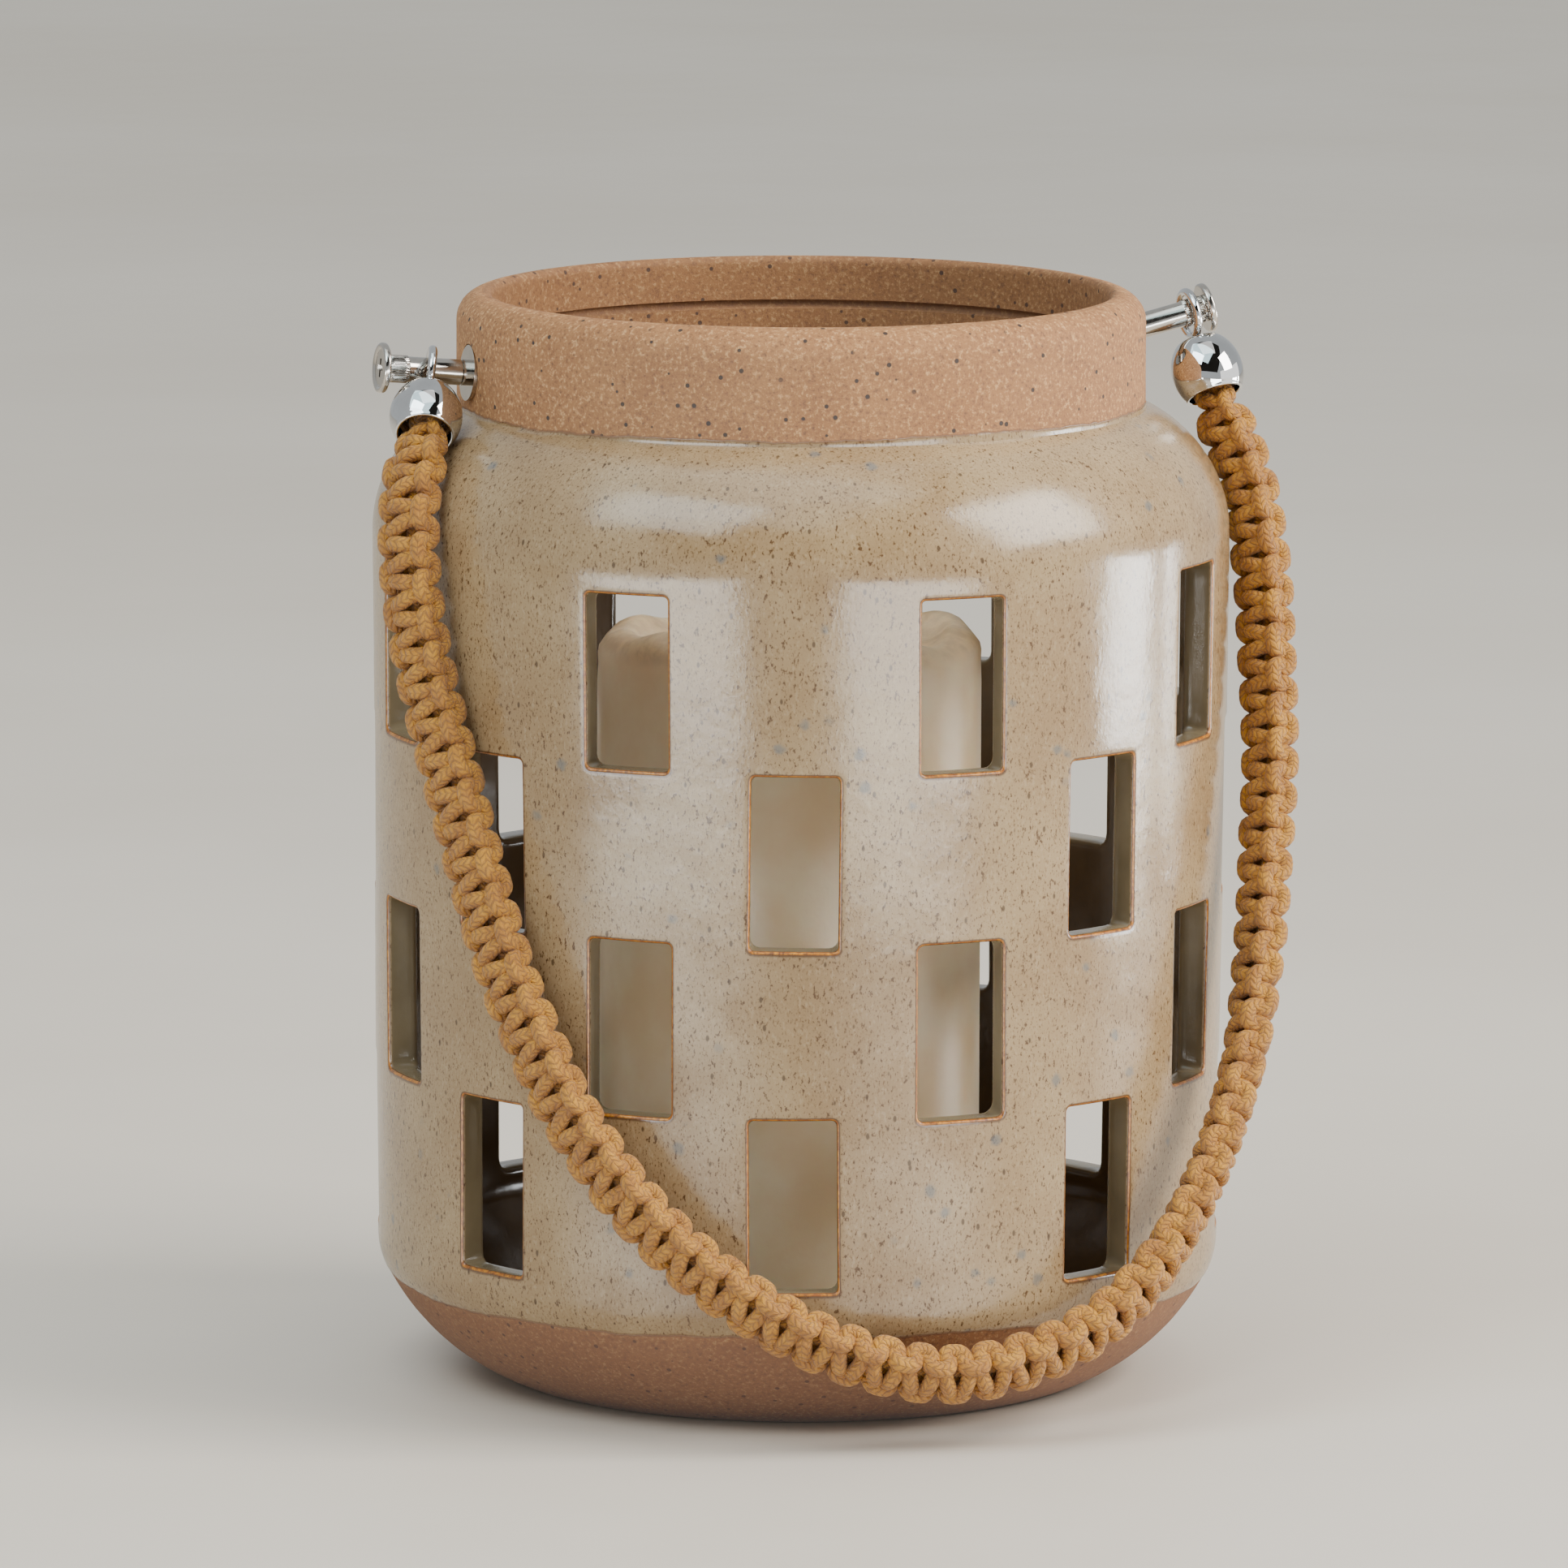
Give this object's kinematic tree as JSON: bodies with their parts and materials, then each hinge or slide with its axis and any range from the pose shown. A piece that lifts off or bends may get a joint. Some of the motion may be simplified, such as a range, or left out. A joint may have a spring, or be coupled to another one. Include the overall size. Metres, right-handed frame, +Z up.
{
  "type": "hurricane candle lantern",
  "caption": "Pierced stoneware hurricane lantern with staggered rectangular windows, a pillar candle inside and a knotted cord handle on metal posts.",
  "frame": {"origin": "centre of the foot, on the surface that the lantern stands on", "axes": "+Z up through the neck, the two handle posts along X, the hanging cord on the -Y side"},
  "size_m": [0.1835, 0.1777, 0.212],
  "materials": {
    "stoneware": "glossy greige glaze with brown flecks, bare sandy clay on the neck and base, rust-brown window edges",
    "nickel": "bright plated",
    "chrome_cap": "mirror bright",
    "fibre": "matte",
    "binding": "matte thread",
    "cord": "waxed braided cotton",
    "wax": "soft satin wax",
    "wick": "charred cotton",
    "tin": "tinned"
  },
  "bodies": {
    "pot": {"stoneware_pot": "stoneware", "left_outer_washer": "nickel", "left_spacer": "nickel", "left_post_sleeve": "nickel", "left_post_screw": "nickel", "left_inner_washer": "fibre", "right_outer_washer": "nickel", "right_spacer": "nickel", "right_post_sleeve": "nickel", "right_post_screw": "nickel", "right_inner_washer": "fibre"},
    "handle": {"left_cord_cap": "chrome_cap", "left_cap_eye": "nickel", "left_cord_binding": "binding", "right_cord_cap": "chrome_cap", "right_cap_eye": "nickel", "right_cord_binding": "binding", "handle_cord": "cord"},
    "candle": {"pillar_candle": "wax", "candle_wick": "wick", "wick_tab": "tin"}
  },
  "joints": [
    {"name": "handle_swing", "type": "hinge", "parent": "pot", "child": "handle", "pos_m": [-0.0748, 0, 0.19872], "axis": [-0.9991, 0, -0.0425], "range_deg": [0, 250]},
    {"name": "candle_lift", "type": "slide", "parent": "pot", "child": "candle", "axis": [0, 0, 1], "range_m": [0, 0.21]}
  ]
}
